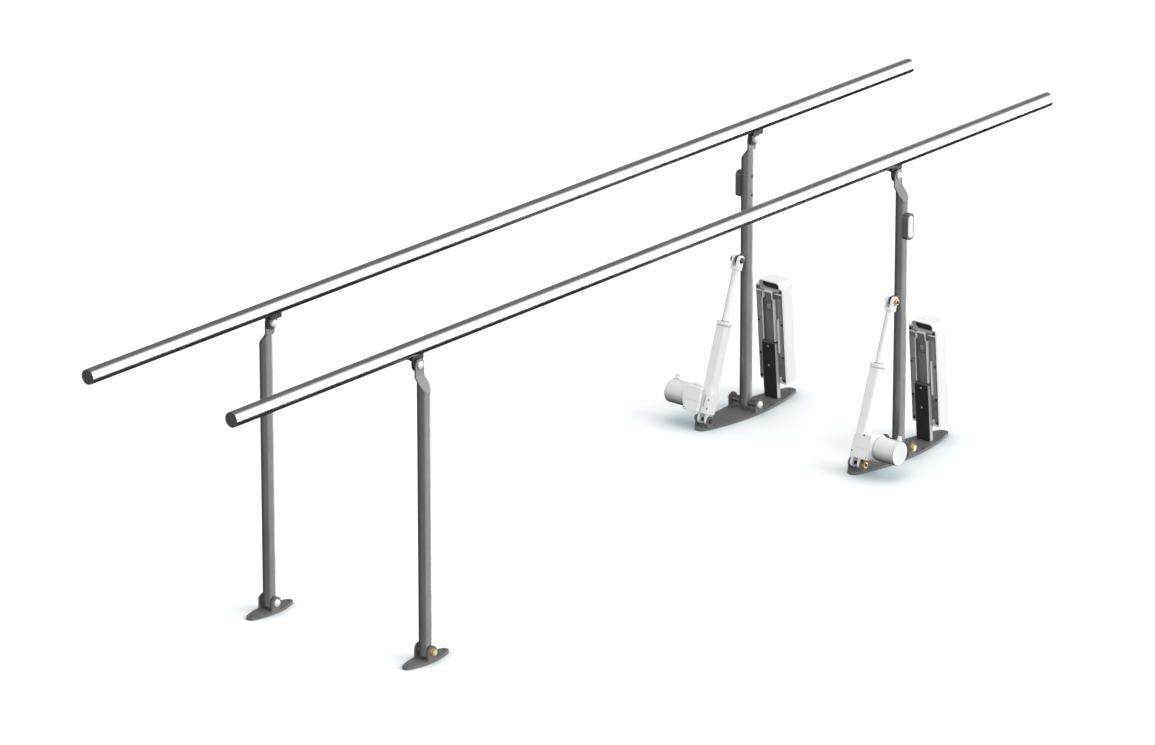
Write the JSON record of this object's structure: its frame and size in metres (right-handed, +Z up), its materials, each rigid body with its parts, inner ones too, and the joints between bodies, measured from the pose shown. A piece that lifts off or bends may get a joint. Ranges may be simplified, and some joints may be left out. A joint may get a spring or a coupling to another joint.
{
  "type": "rehabilitation walking parallel bars",
  "caption": "Height-adjustable walking parallel bars: tube handrails on posts that swing in step, each side driven by an electric linear actuator, with control boxes on the floor plates.",
  "frame": {"origin": "on the floor, below the middle of the rails, halfway between the two sides", "axes": "+X along the rails towards the driven posts and control boxes, +Y to the left side, +Z up; rest is the highest position"},
  "size_m": [3.5, 0.832, 0.9],
  "materials": {
    "grey_powder_coat": "satin",
    "rail_steel": "polished",
    "end_cap_plastic": "matte",
    "black_powder_coat": "satin",
    "zinc_steel": "satin",
    "white_plastic": "gloss",
    "bush_plastic": "matte",
    "black_plastic": "matte",
    "cover_plastic": "satin",
    "back_plastic": "matte",
    "white_paint": "satin",
    "rod_steel": "polished",
    "machined_steel": "satin",
    "dark_steel": "satin",
    "board_green": "matte",
    "latch_metal": "satin",
    "yellow_zinc": "satin"
  },
  "bodies": {
    "floor_frame": {"left_rear_base_plate": "grey_powder_coat", "right_rear_base_plate": "grey_powder_coat", "left_front_base_plate": "grey_powder_coat", "right_front_base_plate": "grey_powder_coat", "left_box_back": "back_plastic", "right_box_back": "back_plastic", "left_box_cover": "cover_plastic", "right_box_cover": "cover_plastic", "control_boards": "board_green", "box_latches": "latch_metal", "socket_plugs": "back_plastic", "box_screws": "zinc_steel", "foot_pivot_bolts": "zinc_steel", "pivot_nuts": "yellow_zinc", "foot_pivot_caps": "white_plastic", "actuator_base_pins": "dark_steel"},
    "left_rear_post": {"left_rear_post": "grey_powder_coat", "left_rear_bushes": "bush_plastic", "left_switch_housing": "black_plastic", "left_switch_screws": "zinc_steel"},
    "left_rocker": {"left_switch_rocker": "white_plastic"},
    "left_front_post": {"left_front_post": "grey_powder_coat", "left_front_bushes": "bush_plastic"},
    "left_handrail": {"left_rail": "rail_steel", "left_rail_end_caps": "end_cap_plastic", "left_rail_brackets": "black_powder_coat", "left_rail_fasteners": "zinc_steel", "left_rail_pivot_caps": "white_plastic"},
    "left_actuator": {"left_gearbox": "white_paint", "left_motor": "white_paint", "left_drive_pinion": "machined_steel", "left_spindle_bearing": "machined_steel", "left_actuator_tube": "white_paint", "left_tube_collar": "white_paint"},
    "left_spindle": {"left_spindle": "machined_steel"},
    "left_rod": {"left_piston_rod": "rod_steel", "left_rod_fork": "white_paint", "left_rod_pin": "dark_steel"},
    "right_rear_post": {"right_rear_post": "grey_powder_coat", "right_rear_bushes": "bush_plastic", "right_switch_housing": "black_plastic", "right_switch_screws": "zinc_steel"},
    "right_rocker": {"right_switch_rocker": "white_plastic"},
    "right_front_post": {"right_front_post": "grey_powder_coat", "right_front_bushes": "bush_plastic"},
    "right_handrail": {"right_rail": "rail_steel", "right_rail_end_caps": "end_cap_plastic", "right_rail_brackets": "black_powder_coat", "right_rail_fasteners": "zinc_steel", "right_rail_pivot_caps": "white_plastic"},
    "right_actuator": {"right_gearbox": "white_paint", "right_motor": "white_paint", "right_drive_pinion": "machined_steel", "right_spindle_bearing": "machined_steel", "right_actuator_tube": "white_paint", "right_tube_collar": "white_paint"},
    "right_spindle": {"right_spindle": "machined_steel"},
    "right_rod": {"right_piston_rod": "rod_steel", "right_rod_fork": "white_paint", "right_rod_pin": "dark_steel"}
  },
  "joints": [
    {"name": "left_height", "type": "hinge", "parent": "floor_frame", "child": "left_rear_post", "pos_m": [1.03, 0.279, 0.0305], "axis": [0, -1, 0], "range_deg": [0, 46.5]},
    {"name": "left_front_swing", "type": "hinge", "parent": "floor_frame", "child": "left_front_post", "pos_m": [-1.03, 0.279, 0.0305], "axis": [0, -1, 0], "range_deg": [0, 46.5]},
    {"name": "left_rail_level", "type": "hinge", "parent": "left_rear_post", "child": "left_handrail", "pos_m": [1.03, 0.279, 0.834], "axis": [0, -1, 0], "range_deg": [-46.5, 0]},
    {"name": "left_actuator_swing", "type": "hinge", "parent": "floor_frame", "child": "left_actuator", "pos_m": [0.84, 0.279, 0.026], "axis": [0, -1, 0], "range_deg": [0, 48.2]},
    {"name": "left_rod_slide", "type": "slide", "parent": "left_actuator", "child": "left_rod", "axis": [0.3162, 0, 0.9487], "range_m": [-0.1498, 0]},
    {"name": "left_spindle_spin", "type": "hinge", "parent": "left_actuator", "child": "left_spindle", "pos_m": [0.84, 0.279, 0.026], "axis": [0.3162, 0, 0.9487], "range_deg": [0, 8990]},
    {"name": "left_switch_rock", "type": "hinge", "parent": "left_rear_post", "child": "left_rocker", "pos_m": [1.03, 0.3087, 0.69], "axis": [1, 0, 0], "range_deg": [-6, 6], "stiffness_Nm_per_rad": 1},
    {"name": "right_height", "type": "hinge", "parent": "floor_frame", "child": "right_rear_post", "pos_m": [1.03, -0.279, 0.0305], "axis": [0, -1, 0], "range_deg": [0, 46.5]},
    {"name": "right_front_swing", "type": "hinge", "parent": "floor_frame", "child": "right_front_post", "pos_m": [-1.03, -0.279, 0.0305], "axis": [0, -1, 0], "range_deg": [0, 46.5]},
    {"name": "right_rail_level", "type": "hinge", "parent": "right_rear_post", "child": "right_handrail", "pos_m": [1.03, -0.279, 0.834], "axis": [0, -1, 0], "range_deg": [-46.5, 0]},
    {"name": "right_actuator_swing", "type": "hinge", "parent": "floor_frame", "child": "right_actuator", "pos_m": [0.84, -0.279, 0.026], "axis": [0, -1, 0], "range_deg": [0, 48.2]},
    {"name": "right_rod_slide", "type": "slide", "parent": "right_actuator", "child": "right_rod", "axis": [0.3162, 0, 0.9487], "range_m": [-0.1498, 0]},
    {"name": "right_spindle_spin", "type": "hinge", "parent": "right_actuator", "child": "right_spindle", "pos_m": [0.84, -0.279, 0.026], "axis": [0.3162, 0, 0.9487], "range_deg": [0, 8990]},
    {"name": "right_switch_rock", "type": "hinge", "parent": "right_rear_post", "child": "right_rocker", "pos_m": [1.03, -0.3087, 0.69], "axis": [1, 0, 0], "range_deg": [-6, 6], "stiffness_Nm_per_rad": 1}
  ],
  "couplings": [
    {"joint": "left_front_swing", "follows": "left_height", "ratio": 1},
    {"joint": "left_rail_level", "follows": "left_height", "ratio": -1},
    {"joint": "left_actuator_swing", "follows": "left_height", "ratio": 1.0347},
    {"joint": "left_rod_slide", "follows": "left_height", "m_per_rad": -0.18439},
    {"joint": "left_spindle_spin", "follows": "left_height", "ratio": 193.09},
    {"joint": "right_front_swing", "follows": "right_height", "ratio": 1},
    {"joint": "right_rail_level", "follows": "right_height", "ratio": -1},
    {"joint": "right_actuator_swing", "follows": "right_height", "ratio": 1.0347},
    {"joint": "right_rod_slide", "follows": "right_height", "m_per_rad": -0.18439},
    {"joint": "right_spindle_spin", "follows": "right_height", "ratio": 193.09}
  ]
}
